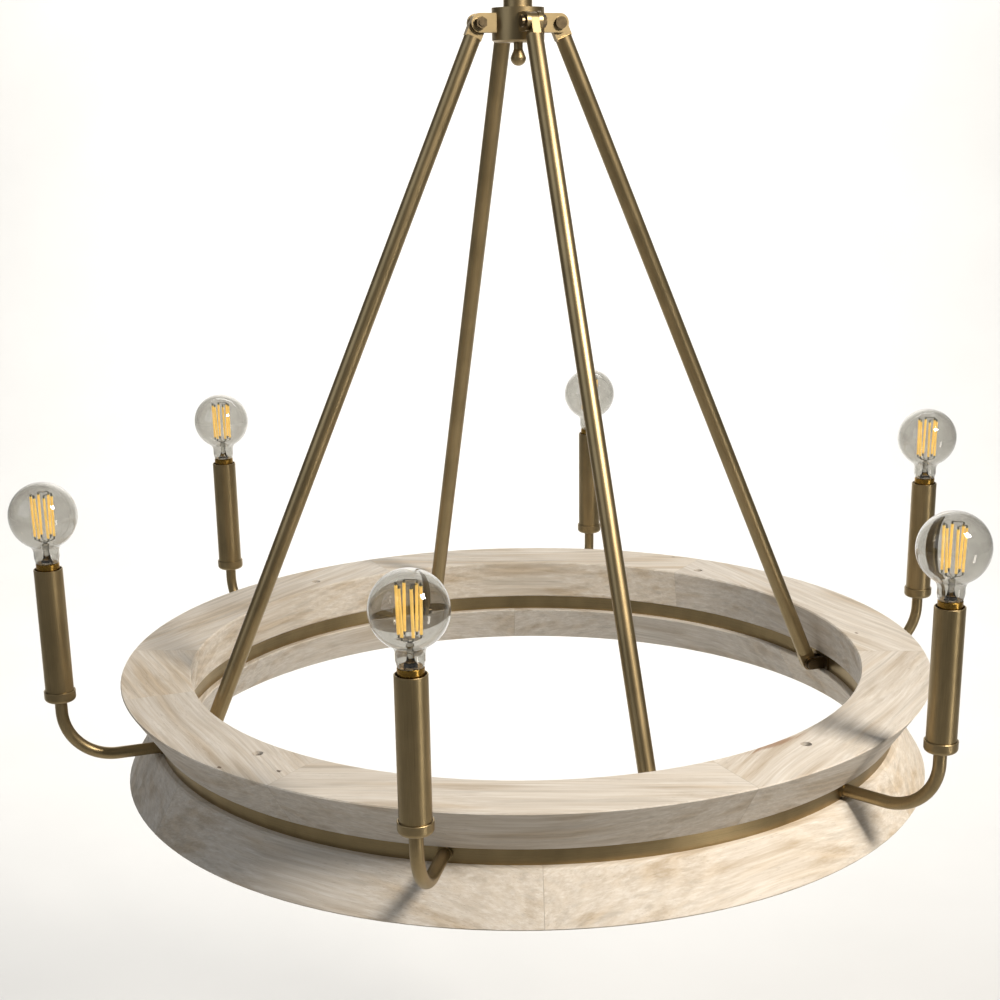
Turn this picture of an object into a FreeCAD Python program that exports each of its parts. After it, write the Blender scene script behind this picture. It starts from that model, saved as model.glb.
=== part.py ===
"""Wagon wheel chandelier: a wooden ring on four rods with six candle lights.

Millimetres. The origin is the centre of the ceiling plate's top face, +Z is up and
the whole fixture hangs below it. Light 1 and rod 1 point along +X.
"""
import FreeCAD
import Part
import Sketcher
import math
import os
import re

doc = FreeCAD.newDocument("WagonWheelChandelier")

# ------------------------------------------------------------------ driving sizes
sizes = {
    # ceiling plate, nipple and canopy
    "bar_length": 108.0,
    "bar_width": 22.0,
    "bar_thickness": 2.5,
    "slot_middle": 39.7,          # plate centre to slot centre
    "slot_length": 14.4,          # end to end
    "slot_radius": 2.4,
    "ground_offset": 22.0,        # plate centre to earth screw
    "ground_radius": 2.0,
    "ground_head_radius": 3.5,
    "ground_head_height": 2.5,
    "nipple_radius": 5.0,
    "nipple_bore": 3.5,
    "nipple_engagement": 7.5,     # length inside the swivel bush
    "locknut_across": 14.0,
    "locknut_height": 3.5,
    "canopy_radius": 65.0,
    "canopy_depth": 24.0,
    "canopy_corner": 12.0,
    "canopy_wall": 1.2,
    "canopy_nut_radius": 10.0,
    "canopy_nut_height": 6.0,
    "canopy_nut_bevel": 1.0,
    # hang-straight swivel
    "collar_radius": 11.0,
    "collar_length": 24.0,
    "collar_bore": 8.0,
    "collar_lip": 6.0,
    "bush_height": 8.0,
    "fork_neck_radius": 5.0,
    "fork_head_radius": 7.6,
    "fork_head_height": 4.0,
    "fork_bore": 3.0,
    "fork_gap": 1.0,              # collar's foot to the fork's block
    "fork_width": 20.0,
    "fork_depth": 16.0,
    "fork_slot": 10.2,
    "fork_slot_rise": 8.5,        # slot's roof above the pin
    "swivel_pin_drop": 18.0,      # collar's foot to the pin
    "swivel_pin_radius": 2.5,
    "swivel_pin_head": 4.0,
    "swivel_pin_head_height": 1.5,
    "tongue_rise": 5.0,           # tongue's flat top above the pin
    "tongue_reach": 9.5,          # pin to the boss
    "tongue_side_play": 0.1,
    "boss_radius": 10.0,
    "boss_length": 16.5,
    "stem_socket": 12.0,          # stem's depth in the boss
    # stem and hub
    "stem_radius": 6.35,
    "stem_wall": 1.2,
    "stem_length": 152.4,
    "hub_neck_radius": 11.0,
    "hub_neck_height": 14.0,
    "hub_radius": 20.0,
    "hub_half_height": 11.0,
    "hub_cavity_radius": 15.0,
    "hub_roof": 6.0,
    "hub_wire_hole": 4.0,
    "hub_stem_shelf": 2.0,        # stem's foot below the hub's shoulder
    "cap_flange": 3.0,
    "cap_spigot_height": 5.0,
    "cap_spigot_bore": 12.0,
    "cap_neck_radius": 3.5,
    "cap_neck_height": 5.0,
    "cap_ball_radius": 6.0,
    # pivots at both ends of the rods
    "pivot_radius": 2.5,
    "pivot_head_radius": 4.5,
    "pivot_head_height": 3.0,
    "pivot_nut_across": 8.0,
    "pivot_nut_height": 4.0,
    "pivot_tip": 0.8,             # thread showing past the nut
    "ear_gap": 6.4,
    "ear_thickness": 3.0,
    "hub_ear_radius": 7.0,
    "hub_pin_circle": 32.0,
    "bracket_ear_radius": 5.5,
    "bracket_width": 24.0,
    "bracket_plate": 2.0,
    "bracket_reach": 14.5,        # channel's inner face to the lower pin
    # rods
    "rod_count": 4,
    "rod_pin_length": 596.0,      # pin to pin
    "rod_radius": 6.5,
    "rod_wall": 1.2,
    "rod_end_offset": 13.0,       # pin to the tube's end
    "rod_end_flange": 2.0,
    "rod_plug_length": 12.0,
    "rod_tongue_thickness": 6.2,
    # wood rings and the metal channel between them
    "ring_radius": 335.0,
    "ring_width": 57.0,           # upper ring's top face
    "upper_thickness": 37.5,
    "upper_lip_outer": 4.0,       # upper ring's foot past the channel, outside
    "upper_lip_inner": 1.5,
    "lower_thickness": 35.5,
    "lower_lip_outer": 5.5,       # lower ring's head past the channel, outside
    "lower_lip_inner": 6.0,
    "lower_foot_setback": 1.0,    # lower ring's edge inside the upper ring's
    "lower_foot_width": 32.5,
    "segment_count": 6,
    "upper_seam_angle": 38.5,
    "lower_seam_angle": 12.5,
    "glue_angle": 0.02,           # glue line between two segments, degrees
    "edge_ease": 1.2,             # sanded edges of both rings
    "channel_setback": 28.5,      # ring's edge to the channel's outer face
    "channel_width": 20.5,
    "channel_height": 13.0,
    "channel_wall": 1.5,
    "screw_angle_1": 35.2,        # the wood screws aren't evenly spaced
    "screw_angle_2": 113.5,
    "screw_angle_3": 210.0,
    "screw_angle_4": 293.4,
    "screw_radius": 2.25,
    "screw_head_radius": 3.8,
    "screw_head_height": 2.6,
    "screw_length": 64.0,
    "screw_sink": 5.0,            # screw head below the top face
    "screw_counterbore": 4.2,
    # arms and candles
    "light_count": 6,
    "light_reach": 46.5,          # ring's edge to the candles' axes
    "arm_radius": 4.75,
    "arm_wall": 1.0,
    "arm_bend": 40.0,
    "arm_inner_end": 6.5,         # arm's end inside the channel's outer face
    "arm_collar_radius": 5.9,
    "arm_collar_length": 2.5,
    "arm_thread": 8.0,            # arm's length above the cup's floor
    "arm_nut_across": 11.0,
    "arm_nut_height": 3.2,
    "cup_rise": 6.2,              # ring's top face up to the cup's foot
    "cup_radius": 12.0,
    "cup_height": 8.5,
    "cup_floor": 4.0,
    "cup_rim": 0.9,
    "cup_round": 3.0,
    "cup_nut_across": 14.0,
    "cup_nut_height": 3.5,
    "post_radius": 6.0,
    "socket_radius": 9.25,
    "socket_height": 30.0,
    "socket_bore": 5.95,
    "socket_depth": 22.0,
    "sleeve_radius": 10.8,
    "sleeve_wall": 0.8,
    "sleeve_length": 101.6,
    "sleeve_bevel": 0.3,          # broken edges at both ends, outside
    "cup_bevel": 0.3,
    "lead_radius": 1.8,
    "lead_play": 1.1,             # ring lead to the channel's wall
    # bulb: a 51 mm globe on a candelabra cap
    "shell_length": 14.0,
    "tip_radius": 2.5,
    "tip_length": 2.2,
    "ferrule_radius": 8.7,
    "ferrule_sunk": 4.0,          # ferrule's length inside the sleeve
    "ferrule_height": 9.0,
    "ferrule_bevel": 0.8,
    "globe_radius": 25.5,
    "globe_rise": 36.0,           # ferrule's top to the globe's centre
    "glass_wall": 0.9,
    "neck_radius": 9.5,
    "neck_blend": 7.0,
    "neck_foot_radius": 8.6,
    "neck_foot_height": 4.0,
    "filament_count": 6,
    "filament_radius": 0.9,
    "filament_circle": 8.6,
    "filament_length": 37.0,
    "filament_drop": 20.0,        # globe's centre to the filaments' lower ends
    "stem_glass_radius": 4.0,
    "stem_glass_tip": 1.8,
    "wire_width": 0.7,
    # clearances
    "fit": 0.05,                  # a turned piece in its hole, on the radius
    "rest_gap": 0.2,              # a loose piece above its seat
    "bulb_play": 0.1,             # cap in the socket, on the radius
}

# ------------------------------------------------------------------ derived sizes
levels = {
    "canopy_foot": "-canopy_depth",
    "collar_top": "canopy_foot - canopy_nut_height",
    "collar_foot": "collar_top - collar_length",
    "collar_shoulder": "collar_foot + collar_lip",
    "fork_top": "collar_foot - fork_gap",
    "swivel_pin_z": "collar_foot - swivel_pin_drop",
    "boss_top": "swivel_pin_z - tongue_reach",
    "boss_foot": "boss_top - boss_length",
    "stem_top": "boss_foot + stem_socket",
    "stem_foot": "stem_top - stem_length",
    "hub_pin_z": "stem_foot - hub_half_height + hub_stem_shelf",
    "hub_foot": "hub_pin_z - hub_half_height",
    "hub_shoulder": "hub_pin_z + hub_half_height",
    "ear_span": "ear_gap / 2 + ear_thickness",
    "channel_outer": "ring_radius - channel_setback",
    "channel_inner": "channel_outer - channel_width",
    "channel_middle": "channel_outer - channel_width / 2",
    "ring_inner": "ring_radius - ring_width",
    "upper_foot_inner": "channel_inner - upper_lip_inner",
    "upper_foot_outer": "channel_outer + upper_lip_outer",
    "lower_head_inner": "channel_inner - lower_lip_inner",
    "lower_head_outer": "channel_outer + lower_lip_outer",
    "lower_foot_outer": "ring_radius - lower_foot_setback",
    "lower_foot_inner": "lower_foot_outer - lower_foot_width",
    "light_circle": "ring_radius + light_reach",
    "lead_circle": "channel_inner + channel_wall + lead_play + lead_radius",
    "ring_pin_circle": "channel_inner - bracket_reach",
    "rod_run": "ring_pin_circle - hub_pin_circle",
    "rod_tilt": "asin(rod_run / rod_pin_length)",
    "ring_pin_z": "hub_pin_z - sqrt(rod_pin_length ^ 2 - rod_run ^ 2)",
    "channel_top": "ring_pin_z + channel_height / 2",
    "channel_foot": "ring_pin_z - channel_height / 2",
    "ring_top": "channel_top + upper_thickness",
    "ring_foot": "channel_foot - lower_thickness",
    "segment_angle": "360 / segment_count - glue_angle",
    "light_step": "360 / light_count",
    "rod_step": "360 / rod_count",
    "arm_z": "ring_pin_z + channel_wall / 2",
    "arm_start": "channel_outer - arm_inner_end",
    "cup_foot": "ring_top + cup_rise",
    "cup_seat": "cup_foot + cup_floor",
    "arm_end": "cup_seat + arm_thread",
    "cup_nut_top": "cup_seat + cup_nut_height",
    "sleeve_foot": "cup_seat + rest_gap",
    "sleeve_top": "sleeve_foot + sleeve_length",
    "sleeve_bore": "sleeve_radius - sleeve_wall",
    "ferrule_foot": "sleeve_top - ferrule_sunk",
    "ferrule_top": "ferrule_foot + ferrule_height",
    "socket_top": "ferrule_foot - rest_gap",
    "socket_foot": "socket_top - socket_height",
    "shell_radius": "socket_bore - bulb_play",
    "globe_z": "ferrule_top + globe_rise",
    "blend_reach": "sqrt((globe_radius + neck_blend) ^ 2 - (neck_radius + neck_blend) ^ 2)",
    "blend_share": "globe_radius / (globe_radius + neck_blend)",
    "inner_globe": "globe_radius - glass_wall",
    "inner_neck": "neck_radius - glass_wall",
    "filament_foot": "globe_z - filament_drop",
    "filament_top": "filament_foot + filament_length",
}

sheet = doc.addObject("Spreadsheet::Sheet", "Sizes")
for row, (alias, number) in enumerate(sizes.items(), 1):
    sheet.set("A%d" % row, alias)
    sheet.set("B%d" % row, str(number))
    sheet.setAlias("B%d" % row, alias)
doc.recompute()

word = re.compile(r"[a-z][a-z0-9_]*")


def bound(text):
    """An expression on the sheet's cells from one written with plain size names."""
    def swap(match):
        name = match.group(0)
        if name in sizes:
            return "Sizes." + name
        if name in levels:
            return "(" + bound(levels[name]) + ")"
        return name
    return word.sub(swap, text)


def number(text):
    """The present value of an expression, for a sketch's first shape."""
    result = sheet.evalExpression(bound(text))
    return float(getattr(result, "Value", result))


# ------------------------------------------------------------------ sketches
def origin_feature(body, role):
    return [part for part in body.Origin.OriginFeatures if part.Role == role][0]


def new_body(label, spot=None):
    """A body; spot is its (x, y, z, turn about Z)."""
    body = doc.addObject("PartDesign::Body", label)
    body.Label = label
    body.AllowCompound = True
    if spot:
        body.setExpression("Placement", bound("placement(vector(%s; %s; %s); rotation(%s; 0; 0))" % spot))
    return body


def new_sketch(body, name, role="XZ_Plane", at=("0", "0", "0"), turn="0"):
    """A sketch on an origin plane, shifted within and off the plane and turned in it."""
    sketch = body.newObject("Sketcher::SketchObject", name)
    sketch.AttachmentSupport = (origin_feature(body, role), "")
    sketch.MapMode = "FlatFace"
    text = "placement(vector(%s; %s; %s); rotation(%s; 0; 0))" % (at + (turn,))
    sketch.setExpression("AttachmentOffset", bound(text))
    return sketch


def fix_distance(sketch, geometry, end, kind, text):
    """Ties one coordinate of a point to an expression."""
    if text == "0":
        axis = -2 if kind == "DistanceX" else -1
        sketch.addConstraint(Sketcher.Constraint("PointOnObject", geometry, end, axis))
        return
    index = sketch.addConstraint(Sketcher.Constraint(kind, -1, 1, geometry, end, number(text)))
    sketch.setExpression("Constraints[%d]" % index, bound(text))


def fix_point(sketch, geometry, end, x, y):
    fix_distance(sketch, geometry, end, "DistanceX", x)
    fix_distance(sketch, geometry, end, "DistanceY", y)


def outline(sketch, points):
    """A closed outline of lines and arcs.

    A point is (x, y), reached by a line, or (x, y, centre x, centre y, sense), reached
    by an arc that turns to the left or to the right.
    """
    vector = FreeCAD.Vector
    count = len(points)
    first = sketch.GeometryCount
    ends = []
    for index, point in enumerate(points):
        before = points[index - 1]
        start = vector(number(before[0]), number(before[1]), 0)
        stop = vector(number(point[0]), number(point[1]), 0)
        if len(point) == 2:
            sketch.addGeometry(Part.LineSegment(start, stop), False)
            ends.append((1, 2))
            continue
        centre = vector(number(point[2]), number(point[3]), 0)
        circle = Part.Circle(centre, vector(0, 0, 1), (start - centre).Length)
        left = point[4] == "left"
        low, high = (start, stop) if left else (stop, start)
        low_angle, high_angle = circle.parameter(low), circle.parameter(high)
        if high_angle <= low_angle:
            high_angle += math.tau
        sketch.addGeometry(Part.ArcOfCircle(circle, low_angle, high_angle), False)
        ends.append((1, 2) if left else (2, 1))
    for index, point in enumerate(points):
        after = (index + 1) % count
        ends_meet = (first + index, ends[index][1], first + after, ends[after][0])
        sketch.addConstraint(Sketcher.Constraint("Coincident", *ends_meet))
        fix_point(sketch, first + index, ends[index][1], point[0], point[1])
        if len(point) > 2:
            before = points[index - 1]
            rise = abs(number(point[1]) - number(before[1]))
            run = abs(number(point[0]) - number(before[0]))
            if rise > run:
                fix_distance(sketch, first + index, 3, "DistanceX", point[2])
            else:
                fix_distance(sketch, first + index, 3, "DistanceY", point[3])


def ring(sketch, x, y, radius):
    """A circle with its centre and radius tied to expressions."""
    vector = FreeCAD.Vector
    centre = vector(number(x), number(y), 0)
    index = sketch.addGeometry(Part.Circle(centre, vector(0, 0, 1), number(radius)), False)
    fix_point(sketch, index, 3, x, y)
    held = sketch.addConstraint(Sketcher.Constraint("Radius", index, number(radius)))
    sketch.setExpression("Constraints[%d]" % held, bound(radius))


def rectangle(left, low, right, high):
    return [(left, low), (right, low), (right, high), (left, high)]


def hexagon(across):
    """A hexagon's corners from its width across the flats."""
    reach = "%s / 2 / cos(30)" % across
    return [("%s * cos(%d)" % (reach, step), "%s * sin(%d)" % (reach, step)) for step in range(30, 390, 60)]


# ------------------------------------------------------------------ features
def revolve(body, points, role="XZ_Plane", at=("0", "0", "0"), turn="0", angle="360", name="Section"):
    """Turns an outline about its sketch's own upright axis."""
    sketch = new_sketch(body, name, role, at, turn)
    outline(sketch, points)
    feature = body.newObject("PartDesign::Revolution", name + "Turn")
    feature.Profile = sketch
    feature.ReferenceAxis = (sketch, ["V_Axis"])
    feature.setExpression("Angle", bound(angle))
    return feature


def pad(body, sketch, length, name, both_ways=False, back=False):
    feature = body.newObject("PartDesign::Pad", name)
    feature.Profile = sketch
    feature.setExpression("Length", bound(length))
    feature.SideType = "Symmetric" if both_ways else "One side"
    feature.Reversed = back
    return feature


def pocket(body, sketch, length, name, both_ways=False, back=False):
    feature = body.newObject("PartDesign::Pocket", name)
    feature.Profile = sketch
    feature.setExpression("Length", bound(length))
    feature.SideType = "Symmetric" if both_ways else "One side"
    feature.Reversed = back
    return feature


def around(body, features, count):
    """Repeats features evenly about the body's Z axis."""
    doc.recompute()
    pattern = body.newObject("PartDesign::PolarPattern", "Around" + features[0].Name)
    pattern.Originals = features
    pattern.Axis = (origin_feature(body, "Z_Axis"), [""])
    pattern.Angle = 360
    pattern.setExpression("Occurrences", bound(count))
    body.Tip = pattern
    return pattern


def turned(label, points, at=("0", "0", "0"), count=None, spot=None, role="XZ_Plane", turn="0"):
    """A piece turned on a lathe, once or repeated around the fixture."""
    body = new_body(label, spot)
    section = revolve(body, points, role, at, turn)
    if count:
        around(body, [section], count)
    return body


def gathered(label, parts):
    """Several solids kept as one node."""
    group = doc.addObject("Part::Compound", label)
    group.Label = label
    group.Links = parts
    return group


nodes = []


def keep(part):
    """Marks a finished sub-part for export."""
    nodes.append(part)
    return part


def tube(outer, inner, low, high):
    return rectangle(inner, low, outer, high)


# ------------------------------------------------------------------ ceiling plate
def ceiling_plate():
    body = new_body("ceiling_crossbar")
    blank = new_sketch(body, "Blank", "XY_Plane")
    outline(blank, rectangle("-bar_length / 2", "-bar_width / 2", "bar_length / 2", "bar_width / 2"))
    ring(blank, "0", "0", "nipple_radius + fit")
    ring(blank, "ground_offset", "0", "ground_radius + fit")
    pad(body, blank, "bar_thickness", "Bar", back=True)
    slot = new_sketch(body, "Slot", "XY_Plane")
    near = "slot_middle - slot_length / 2 + slot_radius"
    far = "slot_middle + slot_length / 2 - slot_radius"
    outline(slot, [
        (far, "-slot_radius"),
        (far, "slot_radius", far, "0", "left"),
        (near, "slot_radius"),
        (near, "-slot_radius", near, "0", "left"),
    ])
    cut = pocket(body, slot, "bar_thickness", "SlotCut")
    around(body, [cut], "2")
    return body


keep(ceiling_plate())
keep(turned("ground_screw", [
    ("0", "-bar_thickness - ground_head_height"),
    ("ground_head_radius", "-bar_thickness - ground_head_height"),
    ("ground_head_radius", "-bar_thickness"),
    ("ground_radius", "-bar_thickness"),
    ("ground_radius", "-rest_gap"),
    ("0", "-rest_gap"),
], at=("ground_offset", "0", "0")))
keep(turned("threaded_nipple", tube("nipple_radius", "nipple_bore", "collar_top - nipple_engagement", "0")))


def nipple_locknut():
    body = new_body("nipple_locknut")
    sketch = new_sketch(body, "Hexagon", "XY_Plane", at=("0", "0", "-bar_thickness"))
    outline(sketch, hexagon("locknut_across"))
    ring(sketch, "0", "0", "nipple_radius + fit")
    pad(body, sketch, "locknut_height", "Nut", back=True)
    return body


keep(nipple_locknut())
keep(turned("canopy", [
    ("nipple_radius + rest_gap", "canopy_foot"),
    ("canopy_radius - canopy_corner", "canopy_foot"),
    ("canopy_radius", "canopy_foot + canopy_corner",
     "canopy_radius - canopy_corner", "canopy_foot + canopy_corner", "left"),
    ("canopy_radius", "0"),
    ("canopy_radius - canopy_wall", "0"),
    ("canopy_radius - canopy_wall", "canopy_foot + canopy_corner"),
    ("canopy_radius - canopy_corner", "canopy_foot + canopy_wall",
     "canopy_radius - canopy_corner", "canopy_foot + canopy_corner", "right"),
    ("nipple_radius + rest_gap", "canopy_foot + canopy_wall"),
]))
keep(turned("canopy_nut", [
    ("nipple_radius + fit", "collar_top"),
    ("canopy_nut_radius - canopy_nut_bevel", "collar_top"),
    ("canopy_nut_radius", "collar_top + canopy_nut_bevel"),
    ("canopy_nut_radius", "canopy_foot - canopy_nut_bevel"),
    ("canopy_nut_radius - canopy_nut_bevel", "canopy_foot"),
    ("nipple_radius + fit", "canopy_foot"),
]))

# ------------------------------------------------------------------ hang-straight swivel
keep(turned("swivel_bush",
            tube("collar_bore", "nipple_radius + fit", "collar_top - bush_height", "collar_top")))
keep(turned("swivel_collar", [
    ("fork_neck_radius + fit", "collar_foot"),
    ("collar_radius - canopy_nut_bevel", "collar_foot"),
    ("collar_radius", "collar_foot + canopy_nut_bevel"),
    ("collar_radius", "collar_top"),
    ("collar_bore + fit", "collar_top"),
    ("collar_bore + fit", "collar_shoulder"),
    ("fork_neck_radius + fit", "collar_shoulder"),
]))


def swivel_fork():
    body = new_body("swivel_fork")
    head_foot = "collar_shoulder + fit"
    revolve(body, [
        ("fork_bore", "fork_top - fork_gap"),
        ("fork_neck_radius", "fork_top - fork_gap"),
        ("fork_neck_radius", head_foot),
        ("fork_head_radius", head_foot),
        ("fork_head_radius", "collar_shoulder + fit + fork_head_height"),
        ("fork_bore", "collar_shoulder + fit + fork_head_height"),
    ], name="Neck")
    block = new_sketch(body, "Block", "YZ_Plane")
    outline(block, [
        ("-fork_depth / 2", "fork_top"),
        ("-fork_depth / 2", "swivel_pin_z"),
        ("fork_depth / 2", "swivel_pin_z", "0", "swivel_pin_z", "left"),
        ("fork_depth / 2", "fork_top"),
    ])
    pad(body, block, "fork_width", "BlockPad", both_ways=True)
    slot = new_sketch(body, "ForkSlot", "XZ_Plane")
    outline(slot, rectangle("-fork_slot / 2", "swivel_pin_z - fork_depth",
                            "fork_slot / 2", "swivel_pin_z + fork_slot_rise"))
    pocket(body, slot, "2 * fork_depth", "SlotCut", both_ways=True)
    cross = new_sketch(body, "PinHole", "YZ_Plane")
    ring(cross, "0", "swivel_pin_z", "swivel_pin_radius + fit")
    pocket(body, cross, "2 * fork_width", "PinCut", both_ways=True)
    bore = new_sketch(body, "WireBore", "XY_Plane", at=("0", "0", "fork_top"))
    ring(bore, "0", "0", "fork_bore")
    pocket(body, bore, "swivel_pin_drop", "WireCut")
    return body


keep(swivel_fork())
pin_end = "fork_width / 2"
pin_head_end = "fork_width / 2 + swivel_pin_head_height"
keep(turned("swivel_pin", [
    ("0", "-fork_width / 2 - swivel_pin_head_height"),
    ("swivel_pin_head", "-fork_width / 2 - swivel_pin_head_height"),
    ("swivel_pin_head", "-fork_width / 2"),
    ("swivel_pin_radius", "-fork_width / 2"),
    ("swivel_pin_radius", pin_end),
    ("swivel_pin_head", pin_end),
    ("swivel_pin_head", pin_head_end),
    ("0", pin_head_end),
], at=("0", "swivel_pin_z", "0"), turn="90"))


def swivel_tongue():
    body = new_body("swivel_tongue")
    revolve(body, [
        ("0", "stem_top"),
        ("stem_radius + fit", "stem_top"),
        ("stem_radius + fit", "boss_foot"),
        ("boss_radius", "boss_foot"),
        ("boss_radius", "boss_top"),
        ("0", "boss_top"),
    ], name="Boss")
    blade = new_sketch(body, "Blade", "YZ_Plane")
    outline(blade, rectangle("-fork_depth / 2", "boss_top - fork_gap",
                             "fork_depth / 2", "swivel_pin_z + tongue_rise"))
    pad(body, blade, "fork_slot - 2 * tongue_side_play", "BladePad", both_ways=True)
    cross = new_sketch(body, "PinHole", "YZ_Plane")
    ring(cross, "0", "swivel_pin_z", "swivel_pin_radius + fit")
    pocket(body, cross, "2 * fork_width", "PinCut", both_ways=True)
    return body


keep(swivel_tongue())
keep(turned("stem", tube("stem_radius", "stem_radius - stem_wall", "stem_foot", "stem_top")))


# ------------------------------------------------------------------ hub
def ear_outline(root, pin_x, pin_z, radius):
    """An ear that ends round its pin, on the side away from its root."""
    return [
        (root, "%s - %s" % (pin_z, radius)),
        (pin_x, "%s - %s" % (pin_z, radius)),
        (pin_x, "%s + %s" % (pin_z, radius), pin_x, pin_z, "left"),
        (root, "%s + %s" % (pin_z, radius)),
    ]


def hub():
    body = new_body("hub")
    revolve(body, [
        ("hub_wire_hole", "hub_shoulder - hub_roof"),
        ("hub_cavity_radius", "hub_shoulder - hub_roof"),
        ("hub_cavity_radius", "hub_foot"),
        ("hub_radius", "hub_foot"),
        ("hub_radius", "hub_shoulder"),
        ("hub_neck_radius", "hub_shoulder"),
        ("hub_neck_radius", "hub_shoulder + hub_neck_height"),
        ("stem_radius + fit", "hub_shoulder + hub_neck_height"),
        ("stem_radius + fit", "stem_foot"),
        ("hub_wire_hole", "stem_foot"),
    ], name="Core")
    ear = new_sketch(body, "Ear", "XZ_Plane")
    outline(ear, ear_outline("hub_radius - ear_thickness", "hub_pin_circle", "hub_pin_z", "hub_ear_radius"))
    ears = pad(body, ear, "2 * ear_span", "EarPad", both_ways=True)
    gap = new_sketch(body, "EarGap", "XY_Plane", at=("0", "0", "hub_pin_z"))
    outline(gap, rectangle("hub_radius + rest_gap", "-ear_gap / 2",
                           "hub_pin_circle + 2 * hub_ear_radius", "ear_gap / 2"))
    gaps = pocket(body, gap, "4 * hub_ear_radius", "GapCut", both_ways=True)
    hole = new_sketch(body, "EarHole", "XZ_Plane")
    ring(hole, "hub_pin_circle", "hub_pin_z", "pivot_radius + fit")
    holes = pocket(body, hole, "4 * ear_span", "HoleCut", both_ways=True)
    around(body, [ears, gaps, holes], "rod_count")
    return body


keep(hub())
keep(turned("hub_cap", [
    ("0", "hub_foot - cap_flange - cap_neck_height - 2 * cap_ball_radius"),
    ("cap_ball_radius", "hub_foot - cap_flange - cap_neck_height - cap_ball_radius",
     "0", "hub_foot - cap_flange - cap_neck_height - cap_ball_radius", "left"),
    ("cap_neck_radius", "hub_foot - cap_flange - cap_neck_height"),
    ("cap_neck_radius", "hub_foot - cap_flange"),
    ("hub_radius - cap_flange", "hub_foot - cap_flange"),
    ("hub_radius", "hub_foot - cap_flange / 2"),
    ("hub_radius", "hub_foot"),
    ("hub_cavity_radius - fit", "hub_foot"),
    ("hub_cavity_radius - fit", "hub_foot + cap_spigot_height"),
    ("cap_spigot_bore", "hub_foot + cap_spigot_height"),
    ("cap_spigot_bore", "hub_foot"),
    ("0", "hub_foot"),
]))


# ------------------------------------------------------------------ pivots
def pivot_screw(label, pin_x, pin_z):
    """Screws across one ring of ears, their heads on the clockwise side."""
    return turned(label, [
        ("0", "-ear_span - pivot_head_height"),
        ("pivot_head_radius", "-ear_span - pivot_head_height"),
        ("pivot_head_radius", "-ear_span"),
        ("pivot_radius", "-ear_span"),
        ("pivot_radius", "ear_span + pivot_nut_height + pivot_tip"),
        ("0", "ear_span + pivot_nut_height + pivot_tip"),
    ], at=(pin_x, "0", pin_z), role="XY_Plane", count="rod_count")


def pivot_nut(label, pin_x, pin_z):
    body = new_body(label)
    sketch = new_sketch(body, "Hexagon", "XZ_Plane", at=(pin_x, pin_z, "-ear_span"))
    outline(sketch, hexagon("pivot_nut_across"))
    ring(sketch, "0", "0", "pivot_radius + fit")
    nut = pad(body, sketch, "pivot_nut_height", "Nut", back=True)
    around(body, [nut], "rod_count")
    return body


hub_pin = ("hub_pin_circle", "hub_pin_z")
ring_pin = ("ring_pin_circle", "ring_pin_z")
keep(gathered("pivot_screws", [pivot_screw("hub_pivot_screws", *hub_pin),
                               pivot_screw("ring_pivot_screws", *ring_pin)]))
keep(gathered("pivot_nuts", [pivot_nut("hub_pivot_nuts", *hub_pin),
                             pivot_nut("ring_pivot_nuts", *ring_pin)]))


# ------------------------------------------------------------------ rods
def rod(index):
    """A tube between its two end fittings, in the plane of its two pins."""
    low = "rod_end_offset - rod_pin_length"
    return turned("rod_%d" % (index + 1),
                  tube("rod_radius", "rod_radius - rod_wall", low, "-rod_end_offset"),
                  at=("hub_pin_circle", "hub_pin_z", "0"), turn="rod_tilt",
                  spot=("0", "0", "0", "%d * rod_step" % index))


for rod_index in range(sizes["rod_count"]):
    keep(rod(rod_index))


def rod_tongues(label, pin_x, pin_z, turn):
    """The fittings at one end of all rods: a plug in the tube and a flat tongue on the pin."""
    body = new_body(label)
    plug_radius = "rod_radius - rod_wall - fit"
    plug = revolve(body, [
        ("0", "-rod_end_offset - rod_plug_length"),
        (plug_radius, "-rod_end_offset - rod_plug_length"),
        (plug_radius, "-rod_end_offset"),
        ("rod_radius", "-rod_end_offset"),
        ("rod_radius", "rod_end_flange - rod_end_offset"),
        ("0", "rod_end_flange - rod_end_offset"),
    ], at=(pin_x, pin_z, "0"), turn=turn, name="Plug")
    blade = new_sketch(body, "Tongue", "XZ_Plane", at=(pin_x, pin_z, "0"), turn=turn)
    outline(blade, [
        ("-rod_radius", "rod_end_flange / 2 - rod_end_offset"),
        ("rod_radius", "rod_end_flange / 2 - rod_end_offset"),
        ("rod_radius", "0"),
        ("-rod_radius", "0", "0", "0", "left"),
    ])
    tongue = pad(body, blade, "rod_tongue_thickness", "TonguePad", both_ways=True)
    eye = new_sketch(body, "Eye", "XZ_Plane", at=(pin_x, pin_z, "0"), turn=turn)
    ring(eye, "0", "0", "pivot_radius + fit")
    hole = pocket(body, eye, "2 * rod_tongue_thickness", "EyeCut", both_ways=True)
    around(body, [plug, tongue, hole], "rod_count")
    return body


keep(gathered("rod_end_tongues", [rod_tongues("top_tongues", *hub_pin, "rod_tilt"),
                                  rod_tongues("bottom_tongues", *ring_pin, "rod_tilt + 180 deg")]))


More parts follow.
